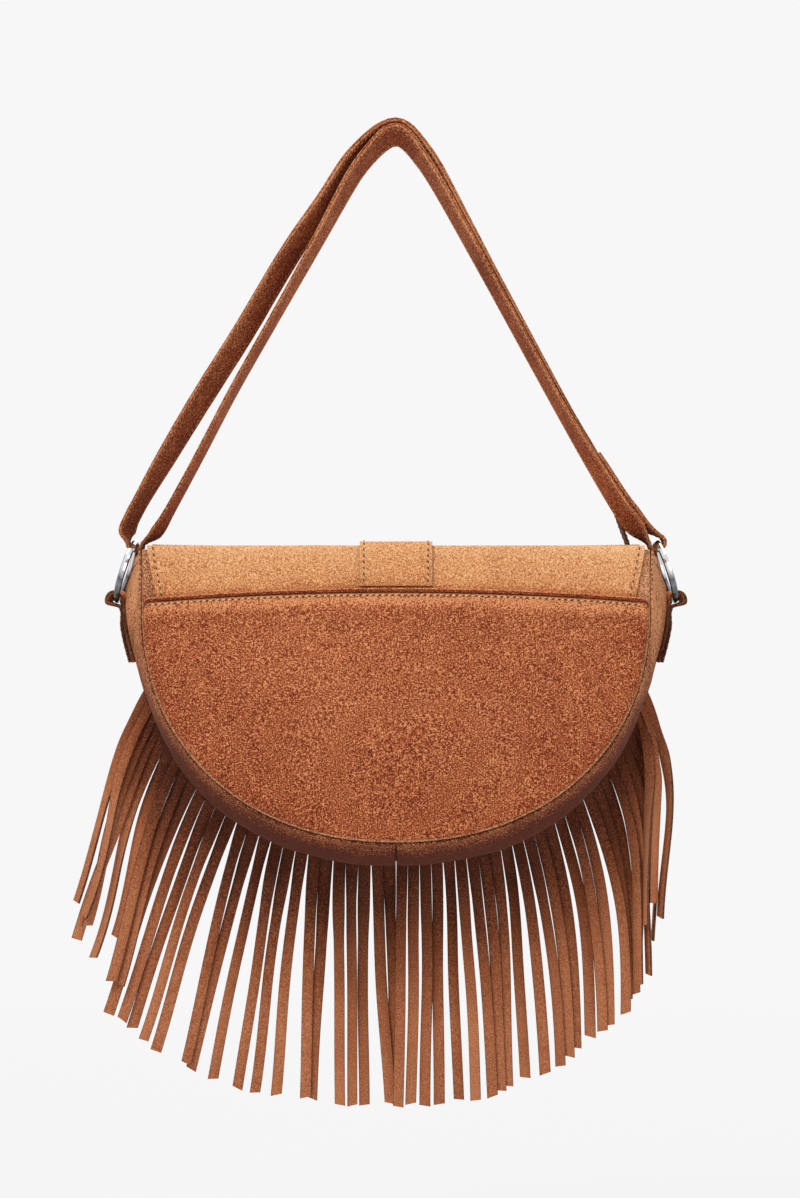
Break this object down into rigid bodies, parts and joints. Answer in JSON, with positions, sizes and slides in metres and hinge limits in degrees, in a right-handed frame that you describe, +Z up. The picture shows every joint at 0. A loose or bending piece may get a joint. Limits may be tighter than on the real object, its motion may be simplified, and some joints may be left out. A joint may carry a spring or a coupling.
{
  "type": "fringed_suede_shoulder_bag",
  "caption": "Fringed suede shoulder bag with a rounded body, a flap that tucks into a back slip pocket, a doubled strap through metal rings, and a long cut fringe.",
  "frame": {"origin": "The hang point: under the middle of the strap's inner layer, where a hook or a hand carries the bag.", "axes": "+Z up as the bag hangs; the back with the slip pocket, which the picture shows, faces -Y and the front faces +Y; +X is on the right when the back is looked at."},
  "size_m": [0.2933, 0.0774, 0.4785],
  "materials": {
    "panel_suede": "napped suede, matte",
    "gusset_suede": "napped suede, matte",
    "flap_suede": "napped suede, matte",
    "strap_suede": "napped suede with darker cut edges, matte",
    "fringe_suede": "napped suede, raw cut edges, matte",
    "ring_metal": "dark nickel plate, polished"
  },
  "bodies": {
    "bag": {"back_panel": "panel_suede", "front_panel": "panel_suede", "gusset_left": "gusset_suede", "gusset_right": "gusset_suede", "back_pocket": "panel_suede", "pocket_binding": "panel_suede", "flap_back": "flap_suede", "tab_back": "flap_suede", "snap_socket": "ring_metal", "ring_tab_left": "strap_suede", "ring_tab_right": "strap_suede", "strap": "strap_suede", "fringe_left": "fringe_suede", "fringe_right": "fringe_suede"},
    "flap": {"flap_front": "flap_suede", "tab_front": "flap_suede", "snap_stud": "ring_metal"},
    "left_ring": {"ring_left": "ring_metal"},
    "right_ring": {"ring_right": "ring_metal"}
  },
  "joints": [
    {"name": "flap_hinge", "type": "hinge", "parent": "bag", "child": "flap", "pos_m": [0, -0.0279, -0.1897], "axis": [1, 0, 0], "range_deg": [0, 165]},
    {"name": "left_ring_swing", "type": "hinge", "parent": "bag", "child": "left_ring", "pos_m": [-0.1338, 0, -0.21739], "axis": [-0.0631, -0.9978, 0.0205], "range_deg": [0, 45], "deforming": ["strap"]},
    {"name": "right_ring_swing", "type": "hinge", "parent": "bag", "child": "right_ring", "pos_m": [0.1338, 0, -0.21739], "axis": [-0.0631, 0.9978, -0.0205], "range_deg": [0, 45], "deforming": ["strap"]}
  ]
}
